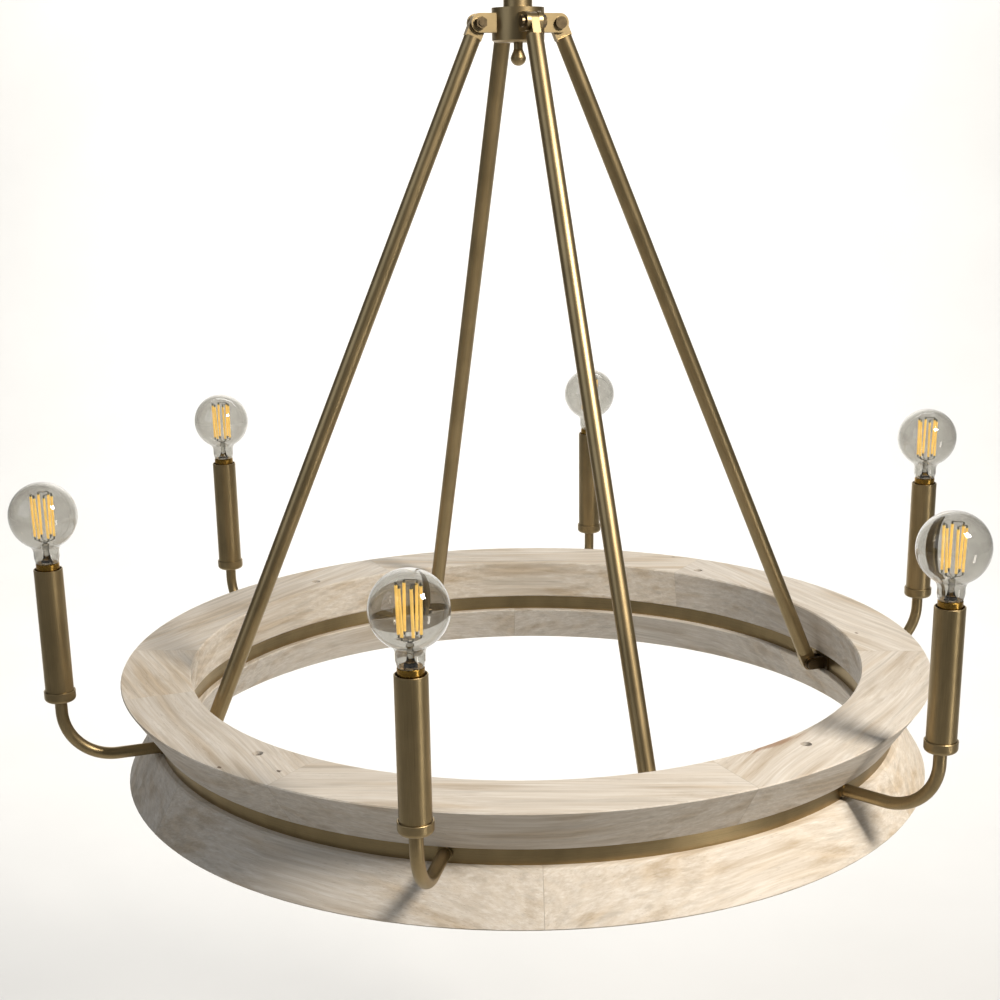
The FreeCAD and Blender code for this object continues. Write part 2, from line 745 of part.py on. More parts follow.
def clevis_brackets():
    """Brackets welded to the channel's inner face."""
    body = new_body("clevis_brackets")
    back = "sqrt(channel_inner ^ 2 - bracket_width ^ 2 / 4) - fit"
    plate = new_sketch(body, "Plate", "YZ_Plane", at=("0", "0", back))
    outline(plate, rectangle("-bracket_width / 2", "ring_pin_z - bracket_ear_radius",
                             "bracket_width / 2", "ring_pin_z + bracket_ear_radius"))
    base = pad(body, plate, "bracket_plate", "PlatePad", back=True)
    ear = new_sketch(body, "Ear", "XZ_Plane")
    outline(ear, [
        (back, "ring_pin_z - bracket_ear_radius"),
        (back, "ring_pin_z + bracket_ear_radius"),
        ("ring_pin_circle", "ring_pin_z + bracket_ear_radius"),
        ("ring_pin_circle", "ring_pin_z - bracket_ear_radius", "ring_pin_circle", "ring_pin_z", "left"),
    ])
    ears = pad(body, ear, "2 * ear_span", "EarPad", both_ways=True)
    gap = new_sketch(body, "EarGap", "XY_Plane", at=("0", "0", "ring_pin_z"))
    outline(gap, rectangle("ring_pin_circle - 2 * bracket_ear_radius", "-ear_gap / 2",
                           back + " - bracket_plate", "ear_gap / 2"))
    gaps = pocket(body, gap, "4 * bracket_ear_radius", "GapCut", both_ways=True)
    hole = new_sketch(body, "EarHole", "XZ_Plane")
    ring(hole, "ring_pin_circle", "ring_pin_z", "pivot_radius + fit")
    holes = pocket(body, hole, "4 * ear_span", "HoleCut", both_ways=True)
    around(body, [base, ears, gaps, holes], "rod_count")
    return body


keep(clevis_brackets())


# ------------------------------------------------------------------ wood rings
screw_angles = [name for name in sizes if name.startswith("screw_angle")]


def screw_holes(body, seam, start, depth, radius, name):
    """Holes downwards on the screw circle, in a ring turned by its seam angle."""
    sketch = new_sketch(body, name, "XY_Plane", at=("0", "0", start))
    for screw_angle in screw_angles:
        angle = "(%s - %s)" % (screw_angle, seam)
        ring(sketch, "channel_middle * cos(%s)" % angle, "channel_middle * sin(%s)" % angle, radius)
    return pocket(body, sketch, depth, name + "Cut")


def eased(corners):
    """The corners of a section, each cut off by the sanded edge."""
    points = []
    for index, (x, y) in enumerate(corners):
        for near_x, near_y in (corners[index - 1], corners[(index + 1) % len(corners)]):
            share = "edge_ease / sqrt((%s - %s) ^ 2 + (%s - %s) ^ 2)" % (near_x, x, near_y, y)
            cut_x = "%s + (%s - %s) * %s" % (x, near_x, x, share)
            cut_y = "%s + (%s - %s) * %s" % (y, near_y, y, share)
            points.append((cut_x, cut_y))
    return points


def wood_ring(label, corners, seam, holes):
    """Glued segments with the screw holes drilled through them."""
    body = new_body(label, spot=("0", "0", "0", seam))
    segment = revolve(body, eased(corners), angle="segment_angle")
    around(body, [segment], "segment_count")
    for hole in holes:
        screw_holes(body, seam, *hole)
    return body


keep(wood_ring("upper_wood_ring", [
    ("ring_inner", "ring_top"),
    ("upper_foot_inner", "channel_top"),
    ("upper_foot_outer", "channel_top"),
    ("ring_radius", "ring_top"),
], "upper_seam_angle", [
    ("ring_top", "upper_thickness", "screw_radius + fit", "Shank"),
    ("ring_top", "screw_sink + screw_head_height", "screw_counterbore", "Counterbore"),
]))
keep(wood_ring("lower_wood_ring", [
    ("lower_head_inner", "channel_foot"),
    ("lower_foot_inner", "ring_foot"),
    ("lower_foot_outer", "ring_foot"),
    ("lower_head_outer", "channel_foot"),
], "lower_seam_angle", [
    ("channel_foot", "screw_sink + screw_length - upper_thickness - channel_height + rest_gap",
     "screw_radius + fit", "Shank"),
]))


def ring_channel():
    """A rolled channel, open upwards under the upper ring, that carries the wiring."""
    body = new_body("ring_channel")
    revolve(body, [
        ("channel_inner", "channel_foot"),
        ("channel_outer", "channel_foot"),
        ("channel_outer", "channel_top"),
        ("channel_outer - channel_wall", "channel_top"),
        ("channel_outer - channel_wall", "channel_foot + channel_wall"),
        ("channel_inner + channel_wall", "channel_foot + channel_wall"),
        ("channel_inner + channel_wall", "channel_top"),
        ("channel_inner", "channel_top"),
    ])
    arm_hole = new_sketch(body, "ArmHole", "YZ_Plane", at=("0", "0", "channel_outer + channel_wall"))
    ring(arm_hole, "0", "arm_z", "arm_radius + fit")
    arm_holes = pocket(body, arm_hole, "4 * channel_wall", "ArmCut")
    around(body, [arm_holes], "light_count")
    screw_holes(body, "0", "channel_top", "channel_height", "screw_radius + fit", "Floor")
    return body


keep(ring_channel())


def ring_screw(screw_angle):
    return turned(screw_angle.replace("angle", "body"), [
        ("0", "-screw_length"),
        ("screw_radius", "2 * screw_radius - screw_length"),
        ("screw_radius", "-screw_head_height"),
        ("screw_head_radius", "-screw_head_height"),
        ("screw_head_radius", "0"),
        ("0", "0"),
    ], at=("channel_middle", "ring_top - screw_sink", "0"), spot=("0", "0", "0", screw_angle))


keep(gathered("ring_screws", [ring_screw(screw_angle) for screw_angle in screw_angles]))


# ------------------------------------------------------------------ arms
def arm_path(body, start, end):
    """The arm's centre line: out through the channel's wall, round the bend and up."""
    sketch = new_sketch(body, "Path", "XZ_Plane")
    vector = FreeCAD.Vector
    bend_x = "light_circle - arm_bend"
    bend_z = "arm_z + arm_bend"
    points = [(start, "arm_z"), (bend_x, "arm_z"), ("light_circle", bend_z), ("light_circle", end)]
    corners = [vector(number(x), number(z), 0) for x, z in points]
    circle = Part.Circle(vector(number(bend_x), number(bend_z), 0), vector(0, 0, 1), number("arm_bend"))
    bend = Part.ArcOfCircle(circle, circle.parameter(corners[1]) - math.tau, 0)
    sketch.addGeometry(Part.LineSegment(corners[0], corners[1]), False)
    sketch.addGeometry(bend, False)
    sketch.addGeometry(Part.LineSegment(corners[2], corners[3]), False)
    sketch.addConstraint(Sketcher.Constraint("Coincident", 0, 2, 1, 1))
    sketch.addConstraint(Sketcher.Constraint("Coincident", 1, 2, 2, 1))
    fix_point(sketch, 0, 1, *points[0])
    fix_point(sketch, 0, 2, *points[1])
    fix_point(sketch, 2, 1, *points[2])
    fix_point(sketch, 2, 2, *points[3])
    radius = sketch.addConstraint(Sketcher.Constraint("Radius", 1, number("arm_bend")))
    sketch.setExpression("Constraints[%d]" % radius, bound("arm_bend"))
    return sketch


def arm_sweep(body, start, end, radii):
    """Circles swept along the arm's centre line."""
    path = arm_path(body, start, end)
    section = new_sketch(body, "Round", "YZ_Plane", at=("0", "arm_z", start))
    for radius in radii:
        ring(section, "0", "0", radius)
    doc.recompute()
    pipe = body.newObject("PartDesign::AdditivePipe", "Sweep")
    pipe.Profile = section
    pipe.Spine = (path, ["Edge1", "Edge2", "Edge3"])
    return pipe


def arm(index):
    body = new_body("arm_%d" % (index + 1), spot=("0", "0", "0", "%d * light_step" % index))
    arm_sweep(body, "arm_start", "arm_end", ["arm_radius", "arm_radius - arm_wall"])
    collar = new_sketch(body, "Collar", "YZ_Plane", at=("0", "arm_z", "channel_outer + fit"))
    ring(collar, "0", "0", "arm_collar_radius")
    ring(collar, "0", "0", "arm_radius - arm_wall / 2")
    pad(body, collar, "arm_collar_length", "CollarPad")
    return body


for arm_index in range(sizes["light_count"]):
    keep(arm(arm_index))


def arm_nuts():
    """Nuts inside the channel that hold the arms."""
    body = new_body("channel_nuts")
    inside = "sqrt((channel_outer - channel_wall) ^ 2 - arm_nut_across ^ 2 / 3) - fit"
    sketch = new_sketch(body, "Hexagon", "YZ_Plane", at=("0", "arm_z", inside))
    flats_level = [(y, x) for x, y in hexagon("arm_nut_across")]
    outline(sketch, flats_level)
    ring(sketch, "0", "0", "arm_radius + fit")
    nut = pad(body, sketch, "arm_nut_height", "Nut", back=True)
    around(body, [nut], "light_count")
    return body


def cup_nuts():
    """Nuts on the arms' upper ends that hold the cups."""
    body = new_body("cup_nuts")
    sketch = new_sketch(body, "Hexagon", "XY_Plane", at=("light_circle", "0", "cup_seat"))
    outline(sketch, hexagon("cup_nut_across"))
    ring(sketch, "0", "0", "arm_radius + fit")
    nut = pad(body, sketch, "cup_nut_height", "Nut")
    around(body, [nut], "light_count")
    return body


keep(gathered("arm_lock_nuts", [arm_nuts(), cup_nuts()]))


# ------------------------------------------------------------------ wiring
def arm_leads():
    body = new_body("arm_leads")
    sweep = arm_sweep(body, "lead_circle + lead_radius + rest_gap", "socket_foot - rest_gap", ["lead_radius"])
    around(body, [sweep], "light_count")
    return body


def ring_lead():
    body = new_body("ring_lead")
    sketch = new_sketch(body, "Round", "XZ_Plane")
    ring(sketch, "lead_circle", "arm_z", "lead_radius")
    loop = body.newObject("PartDesign::Revolution", "Loop")
    loop.Profile = sketch
    loop.ReferenceAxis = (sketch, ["V_Axis"])
    loop.Angle = 360
    return body


stem_lead = turned("stem_lead",
                   rectangle("0", "hub_foot + cap_spigot_height", "lead_radius", "stem_top - rest_gap"))
keep(gathered("wiring", [stem_lead, ring_lead(), arm_leads()]))

# ------------------------------------------------------------------ candles
keep(turned("candle_cups", [
    ("arm_radius + fit", "cup_foot"),
    ("cup_radius - cup_round", "cup_foot"),
    ("cup_radius", "cup_foot + cup_round", "cup_radius - cup_round", "cup_foot + cup_round", "left"),
    ("cup_radius", "cup_foot + cup_height - cup_bevel"),
    ("cup_radius - cup_bevel", "cup_foot + cup_height"),
    ("cup_radius - cup_rim", "cup_foot + cup_height"),
    ("cup_radius - cup_rim", "cup_seat"),
    ("arm_radius + fit", "cup_seat"),
], at=("light_circle", "0", "0"), count="light_count"))

posts = turned("socket_posts", tube("post_radius", "arm_radius + fit", "cup_nut_top", "socket_foot"),
               at=("light_circle", "0", "0"), count="light_count")
sockets = turned("socket_bodies", [
    ("0", "socket_foot"),
    ("socket_radius", "socket_foot"),
    ("socket_radius", "socket_top"),
    ("socket_bore", "socket_top"),
    ("socket_bore", "socket_top - socket_depth"),
    ("0", "socket_top - socket_depth"),
], at=("light_circle", "0", "0"), count="light_count")
keep(gathered("candle_sockets", [posts, sockets]))


def candle_spot(index):
    """A frame on one candle's axis."""
    angle = "%d * light_step" % index
    return ("light_circle * cos(%s)" % angle, "light_circle * sin(%s)" % angle, "0", angle)


def candle_sleeve(index):
    return turned("candle_sleeve_%d" % (index + 1), [
        ("sleeve_bore", "sleeve_foot"),
        ("sleeve_radius - sleeve_bevel", "sleeve_foot"),
        ("sleeve_radius", "sleeve_foot + sleeve_bevel"),
        ("sleeve_radius", "sleeve_top - sleeve_bevel"),
        ("sleeve_radius - sleeve_bevel", "sleeve_top"),
        ("sleeve_bore", "sleeve_top"),
    ], spot=candle_spot(index))


def bulb_base(index):
    """Brass cap: contact tip, threaded shell and the smooth ferrule round the neck."""
    return turned("bulb_base_%d" % (index + 1), [
        ("0", "ferrule_foot - shell_length - tip_length"),
        ("tip_radius", "ferrule_foot - shell_length - tip_length"),
        ("shell_radius", "ferrule_foot - shell_length"),
        ("shell_radius", "ferrule_foot"),
        ("ferrule_radius", "ferrule_foot"),
        ("ferrule_radius", "ferrule_top - ferrule_bevel"),
        ("ferrule_radius - ferrule_bevel", "ferrule_top"),
        ("0", "ferrule_top"),
    ], spot=candle_spot(index))


def bulb_glass(index):
    """A blown globe whose neck blends into it and closes on the ferrule."""
    neck_top = "globe_z - blend_reach"
    touch_x = "(neck_radius + neck_blend) * blend_share"
    touch_z = "globe_z - blend_reach * blend_share"
    inner_share = "inner_globe / (globe_radius + neck_blend)"
    inner_x = "(neck_radius + neck_blend) * " + inner_share
    inner_z = "globe_z - blend_reach * " + inner_share
    return turned("bulb_glass_%d" % (index + 1), [
        ("0", "globe_z + inner_globe"),
        (inner_x, inner_z, "0", "globe_z", "right"),
        ("inner_neck", neck_top, "neck_radius + neck_blend", neck_top, "left"),
        ("inner_neck", "ferrule_top + neck_foot_height"),
        ("neck_foot_radius - glass_wall", "ferrule_top"),
        ("neck_foot_radius", "ferrule_top"),
        ("neck_radius", "ferrule_top + neck_foot_height"),
        ("neck_radius", neck_top),
        (touch_x, touch_z, "neck_radius + neck_blend", neck_top, "right"),
        ("0", "globe_z + globe_radius", "0", "globe_z", "left"),
    ], spot=candle_spot(index))


def bulb_filaments(index):
    """Glass foot, support wires and upright filaments, joined as they are in the bulb."""
    body = new_body("bulb_filaments_%d" % (index + 1), spot=candle_spot(index))
    revolve(body, [
        ("0", "ferrule_top"),
        ("stem_glass_radius", "ferrule_top"),
        ("stem_glass_tip", "filament_foot"),
        ("0", "filament_foot + wire_width"),
    ], name="Foot")
    spoke = new_sketch(body, "Spoke", "XZ_Plane")
    outline(spoke, rectangle("0", "filament_foot - wire_width", "filament_circle", "filament_foot"))
    low_wire = pad(body, spoke, "wire_width", "LowWire", both_ways=True)
    filament = revolve(body, tube("filament_radius", "0", "filament_foot - wire_width", "filament_top"),
                       at=("filament_circle", "0", "0"), name="Filament")
    crown = new_sketch(body, "Crown", "XZ_Plane")
    outline(crown, rectangle("0", "filament_top - wire_width", "filament_circle", "filament_top"))
    high_wire = pad(body, crown, "wire_width", "HighWire", both_ways=True)
    around(body, [low_wire, filament, high_wire], "filament_count")
    return body


for light_index in range(sizes["light_count"]):
    keep(candle_sleeve(light_index))
    keep(bulb_base(light_index))
    keep(bulb_glass(light_index))
    keep(bulb_filaments(light_index))

# ------------------------------------------------------------------ check and export
doc.recompute()
for item in doc.Objects:
    if "Invalid" in item.State or "Error" in item.State:
        raise RuntimeError("failed object: %s" % item.Label)
for node in nodes:
    if node.Shape.isNull() or not node.Shape.isValid():
        raise RuntimeError("bad shape: %s" % node.Label)

os.makedirs("parts", exist_ok=True)
for node in nodes:
    node.Shape.exportStep("parts/%s.step" % node.Label)
    print("%-20s %3d solids %12.1f mm3" % (node.Label, len(node.Shape.Solids), node.Shape.Volume))
print("ring top %.2f, ring foot %.2f, %d nodes" % (number("ring_top"), number("ring_foot"), len(nodes)))
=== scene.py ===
import bpy
import bmesh
import math
import random
from mathutils import Matrix, Vector


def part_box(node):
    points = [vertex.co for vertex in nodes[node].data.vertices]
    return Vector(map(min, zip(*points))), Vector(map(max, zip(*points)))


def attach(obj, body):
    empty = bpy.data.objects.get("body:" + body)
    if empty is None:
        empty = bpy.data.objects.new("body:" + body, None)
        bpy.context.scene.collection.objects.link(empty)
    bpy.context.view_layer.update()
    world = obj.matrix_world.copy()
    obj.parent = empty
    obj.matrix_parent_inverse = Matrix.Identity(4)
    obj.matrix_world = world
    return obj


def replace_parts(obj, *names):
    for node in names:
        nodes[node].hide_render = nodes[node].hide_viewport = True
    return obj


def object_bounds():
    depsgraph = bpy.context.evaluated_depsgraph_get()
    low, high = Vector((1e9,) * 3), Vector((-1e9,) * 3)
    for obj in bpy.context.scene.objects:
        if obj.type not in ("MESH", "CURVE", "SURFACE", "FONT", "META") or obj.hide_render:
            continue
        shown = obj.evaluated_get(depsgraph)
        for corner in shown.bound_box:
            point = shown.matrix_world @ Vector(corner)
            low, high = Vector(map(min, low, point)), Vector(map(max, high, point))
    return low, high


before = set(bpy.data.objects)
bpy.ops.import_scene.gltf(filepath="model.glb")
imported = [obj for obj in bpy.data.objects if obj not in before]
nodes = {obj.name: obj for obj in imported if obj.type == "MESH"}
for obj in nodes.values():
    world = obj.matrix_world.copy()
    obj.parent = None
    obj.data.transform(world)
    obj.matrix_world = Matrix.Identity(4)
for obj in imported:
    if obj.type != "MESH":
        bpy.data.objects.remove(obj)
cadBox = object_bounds()  # the CAD pieces' bounds; the floor is set below them
print("frame loaded:", len(nodes), "nodes")

each = range(1, 7)  # the six lights
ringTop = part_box("upper_wood_ring")[1].z  # the wheel's top face
random.seed(7)


# small helpers

def linearColour(hexText):
    # sRGB hex to the linear colour that the shaders take
    channels = [int(hexText[i:i + 2], 16) / 255 for i in (1, 3, 5)]
    return [c / 12.92 if c <= 0.04045 else ((c + 0.055) / 1.055) ** 2.4 for c in channels] + [1.0]


def addNode(tree, kind, *inputs, out=0, **settings):
    # one node; its inputs come in order, or in a dictionary by name or number
    node = tree.nodes.new("ShaderNode" + kind)
    for name, value in settings.items():
        setattr(node, name, value)
    for index, given in enumerate(inputs):
        for key, value in (given if isinstance(given, dict) else {index: given}).items():
            if isinstance(value, bpy.types.NodeSocket):
                tree.links.new(value, node.inputs[key])
            else:
                node.inputs[key].default_value = value
    return node.outputs[out]


smooth = {"interpolation_type": "SMOOTHSTEP"}  # for a Map Range with soft ends


def newMaterial(name, colour, metallic, roughness, extra=None):
    # fixed numbers sit on the shader's own sockets
    material = bpy.data.materials.new(name)
    material.use_nodes = True
    sockets = material.node_tree.nodes["Principled BSDF"].inputs
    fixed = {"Base Color": linearColour(colour), "Metallic": metallic, "Roughness": roughness}
    for socket, value in {**fixed, **(extra or {})}.items():
        sockets[socket].default_value = value
    return material, material.node_tree


def linkSurface(tree, colour, roughness=None, height=None, depthMm=0.02, strength=1.0):
    # what varies over the surface: colour, gloss and relief
    sockets = tree.nodes["Principled BSDF"].inputs
    tree.links.new(colour, sockets["Base Color"])
    if roughness is not None:
        tree.links.new(roughness, sockets["Roughness"])
    if height is not None:
        normal = addNode(tree, "Bump", {"Height": height, "Distance": depthMm / 1000, "Strength": strength})
        tree.links.new(normal, sockets["Normal"])


def millimetres(tree):
    # the CAD position in mm, which stays with the piece at every pose
    place = addNode(tree, "TexCoord", out="Object")
    return addNode(tree, "VectorMath", place, {"Scale": 1000.0}, operation="SCALE")


def azimuthOf(tree, place):
    # angle round the upright axis
    across = addNode(tree, "SeparateXYZ", place, out=0)
    along = addNode(tree, "SeparateXYZ", place, out=1)
    return addNode(tree, "Math", along, across, operation="ARCTAN2")


def noiseMm(tree, place, spacingMm, detail, roughness=0.5, out=0):
    # noise drawn to a real spacing (x, y, z) in mm
    counted = addNode(tree, "VectorMath", place, [1.0 / step for step in spacingMm], operation="MULTIPLY")
    return addNode(tree, "TexNoise", {"Vector": counted, "Scale": 1.0, "Detail": detail,
                                      "Roughness": roughness}, out=out)


def paintOver(tree, colour, *layers):
    # each layer is (how much of it shows, its colour), laid in turn over the colour beneath
    for share, paint in layers:
        beneath, above = [linearColour(c) if isinstance(c, str) else c for c in (colour, paint)]
        colour = addNode(tree, "Mix", {0: share, 6: beneath, 7: above}, data_type="RGBA", out=2)
    return colour


def dress(material, *names):
    # gives CAD nodes their finish
    for name in names:
        for slot in nodes[name].material_slots:
            slot.material = material


# whitewashed mango wood: sanded boards, limed white, wiped back along the grain

whitewashedWood = {
    "segments": 6,
    "limeWash": "#D8D0C4",      # lime left in the grain
    "thickWash": "#E5DFD6",     # where the brush left more of it
    "rawWood": "#C5B297",       # straw brown where the wash is wiped off
    "heartwood": "#AE9A7E",     # darker growth rings
    "greyStain": "#A29A8D",     # weathered grey streaks
    "poreShade": "#6A5948",
    "glueShade": "#5C4E42",
    # spacings are (across the grain, along it)
    "growthRingMm": 6.0,
    "poreMm": (0.7, 8.0),       # real pores are 0.3 mm wide, drawn coarser to show
    "poreCrowdMm": (26.0, 80.0),
    "fibreMm": (1.1, 95.0),
    "greyStreakMm": (5.0, 240.0),
    "ochrePatchMm": (13.0, 140.0),
    "brushMarkMm": (2.4, 80.0),
    "wanderMm": (60.0, 170.0, 60.0),
    "wanderBy": (20.0, 0.0, 20.0),      # how far the grain wanders sideways
    "boardShift": (31.7, 213.0, 17.3),  # so that no two boards are alike
    "pithMm": (-215.0, 0.0, 850.0),     # from the tree's middle, outside each board
    "grainSlope": (1.0, 0.015, 1.0),    # growth rings drawn out along the board
    "midRadiusMm": 305.0,
    "glueLineMm": 0.3,
    "roughness": 0.64,
}


def woodMaterial(name, look, seamDegrees, marks):
    material, tree = newMaterial(name, look["rawWood"], 0.0, look["roughness"], {"Specular IOR Level": 0.3})
    place = millimetres(tree)
    step = 2 * math.pi / look["segments"]
    seam = math.radians(seamDegrees)
    fromSeam = addNode(tree, "Math", azimuthOf(tree, place), seam, operation="SUBTRACT")
    turn = addNode(tree, "Math", fromSeam, step, operation="DIVIDE")
    board = addNode(tree, "Math", turn, operation="FLOOR")
    halfway = addNode(tree, "Math", board, 0.5, operation="ADD")
    middle = addNode(tree, "Math", halfway, step, seam, operation="MULTIPLY_ADD")
    back = addNode(tree, "Math", middle, -1.0, operation="MULTIPLY")
    # each board's own frame: x across the board, y along its grain, z up
    local = addNode(tree, "VectorRotate", {"Vector": place, "Angle": back}, rotation_type="Z_AXIS")
    number = addNode(tree, "CombineXYZ", board, board, board)
    shift = addNode(tree, "VectorMath", number, look["boardShift"], local, operation="MULTIPLY_ADD")
    wander = noiseMm(tree, shift, look["wanderMm"], 1.0, out="Color")
    grain = addNode(tree, "VectorMath", wander, look["wanderBy"], shift, operation="MULTIPLY_ADD")

    def field(spacingMm, detail, roughness=0.6):
        # noise drawn out along the grain
        acrossMm, alongMm = spacingMm
        return noiseMm(tree, grain, (acrossMm, alongMm, acrossMm), detail, roughness)

    fibre = field(look["fibreMm"], 3.0)
    pores = field(look["poreMm"], 2.0)
    grey = field(look["greyStreakMm"], 3.0, 0.5)
    ochre = field(look["ochrePatchMm"], 2.0, 0.4)
    brush = field(look["brushMarkMm"], 3.0)
    crowd = field(look["poreCrowdMm"], 2.0)
    # growth rings round a pith outside the board
    pith = addNode(tree, "VectorMath", grain, look["pithMm"], operation="ADD")
    sloped = addNode(tree, "VectorMath", pith, look["grainSlope"], operation="MULTIPLY")
    reach = addNode(tree, "VectorMath", sloped, operation="LENGTH", out="Value")
    count = addNode(tree, "Math", reach, look["growthRingMm"], operation="DIVIDE")
    rings = addNode(tree, "Math", count, 0.5, operation="PINGPONG")
    uneven = addNode(tree, "Math", fibre, 0.5, rings, operation="MULTIPLY_ADD")
    late = addNode(tree, "MapRange", uneven, 0.72, 0.38, **smooth)
    wood = paintOver(tree, look["rawWood"], (late, look["heartwood"]))
    # how much wash covers: little on the ochre patches, more along the brush marks
    patch = addNode(tree, "MapRange", ochre, 0.46, 0.72, **smooth)
    bare = addNode(tree, "Math", patch, 0.46, operation="MULTIPLY")
    brushed = addNode(tree, "Math", brush, 0.3, 0.62, operation="MULTIPLY_ADD")
    left = addNode(tree, "Math", brushed, bare, operation="SUBTRACT")
    soak = addNode(tree, "Math", fibre, 0.5, operation="SUBTRACT")
    soaked = addNode(tree, "Math", soak, 0.7, left, operation="MULTIPLY_ADD")
    cover = addNode(tree, "Clamp", soaked, 0.2, 0.97)
    thick = addNode(tree, "MapRange", brush, 0.36, 0.74, **smooth)
    wash = paintOver(tree, look["limeWash"], (thick, look["thickWash"]))
    streak = addNode(tree, "MapRange", grey, 0.50, 0.78, **smooth)
    greyShare = addNode(tree, "Math", streak, 0.40, operation="MULTIPLY")
    openPores = addNode(tree, "MapRange", pores, 0.40, 0.29, **smooth)
    crowded = addNode(tree, "MapRange", crowd, 0.44, 0.64, 0.04, 0.25, **smooth)
    poreShare = addNode(tree, "Math", openPores, crowded, operation="MULTIPLY")
    colour = paintOver(tree, wood, (cover, wash), (greyShare, look["greyStain"]),
                       (poreShare, look["poreShade"]))
    # boards differ a little in tone
    tone = addNode(tree, "TexWhiteNoise", {"W": addNode(tree, "Math", board, seamDegrees, operation="ADD")},
                   noise_dimensions="1D")
    bright = addNode(tree, "Math", tone, 0.10, 0.93, operation="MULTIPLY_ADD")
    warm = addNode(tree, "Math", tone, 0.25, 0.85, operation="MULTIPLY_ADD")
    colour = addNode(tree, "HueSaturation", {"Value": bright, "Saturation": warm, "Color": colour})
    # glue lines between the boards
    toSeam = addNode(tree, "Math", turn, 0.5, operation="PINGPONG")
    across = addNode(tree, "Math", toSeam, step * look["midRadiusMm"], operation="MULTIPLY")
    inLine = addNode(tree, "MapRange", across, look["glueLineMm"], 0.0, **smooth)
    glueShare = addNode(tree, "Math", inLine, 0.28, operation="MULTIPLY")
    colour = paintOver(tree, colour, (glueShare, look["glueShade"]))
    ragged = addNode(tree, "Math", brush, 0.5, operation="SUBTRACT")
    # marks paint dark spots: knots and streaks of the wood, and painted shade inside the upper ring's
    # counterbores
    for radius, degrees, depth, halfSize, shade, share in marks:
        around = math.radians(degrees)
        spot = (radius * math.cos(around), radius * math.sin(around), ringTop * 1000 - depth)
        gap = addNode(tree, "VectorMath", place, spot, operation="SUBTRACT")
        facing = addNode(tree, "VectorRotate", {"Vector": gap, "Angle": -around}, rotation_type="Z_AXIS")
        scaled = addNode(tree, "VectorMath", facing, [1.0 / half for half in halfSize], operation="MULTIPLY")
        far = addNode(tree, "VectorMath", scaled, operation="LENGTH", out="Value")
        edge = addNode(tree, "Math", ragged, 1.6, far, operation="MULTIPLY_ADD")
        inMark = addNode(tree, "MapRange", edge, 1.0, 0.35, 0.0, share, **smooth)
        colour = paintOver(tree, colour, (inMark, shade))
    dull = addNode(tree, "MapRange", pores, 0.30, 0.55, look["roughness"] + 0.14, look["roughness"],
                   **smooth)
    sunk = addNode(tree, "MapRange", pores, 0.29, 0.42, **smooth)
    ridges = addNode(tree, "Math", fibre, 0.5, operation="MULTIPLY")
    height = addNode(tree, "Math", sunk, 0.6, ridges, operation="MULTIPLY_ADD")
    linkSurface(tree, colour, dull, height, 0.2, 0.6)
    return material


# (distance from the axis mm, azimuth, depth mm, half sizes mm, colour, strength)
upperMarksAndPaintedShade = [
    (310.7, 216.8, 0.0, (2.4, 2.8, 6.0), "#4E3D2E", 0.9),    # knots
    (331.0, 209.8, 0.0, (2.0, 2.4, 5.0), "#5C4936", 0.85),
    (289.6, 348.1, 0.0, (2.0, 3.4, 5.0), "#66503C", 0.7),
    (328.8, 43.1, 0.0, (1.8, 2.6, 5.0), "#66503C", 0.7),
    (281.0, 290.0, 0.0, (4.5, 36.0, 9.0), "#8E6A4B", 0.75),  # resin streak on the inner edge
]
for azimuth in (35.2, 113.5, 210.0, 293.4):  # painted shade inside the four counterbores, dark spots set below the top face
    upperMarksAndPaintedShade.append((296.25, azimuth, 5.2, (6.0, 6.0, 5.0), "#33291F", 0.95))
# each ring's first seam stands at its own angle, in degrees
dress(woodMaterial("whitewashedWoodUpper", whitewashedWood, 38.5, upperMarksAndPaintedShade), "upper_wood_ring")
dress(woodMaterial("whitewashedWoodLower", whitewashedWood, 12.5, []), "lower_wood_ring")
print("wood dressed")


# champagne bronze: steel tube and sheet, plated, brushed and lacquered

champagneBronze = {
    "plating": "#A8946F",
    "shade": "#8B7B5B",
    "brushSpacingMm": 0.22,     # real scratches are finer, drawn coarser to show
    "brushLengthMm": 26.0,
    "cloudMm": (22.0, 22.0, 34.0),
    "speckleMm": 0.45,          # grain of the plating under the lacquer
    "bandRadiusMm": 300.0,
    "rodTiltDegrees": 23.7,
    "roughness": 0.36,
}


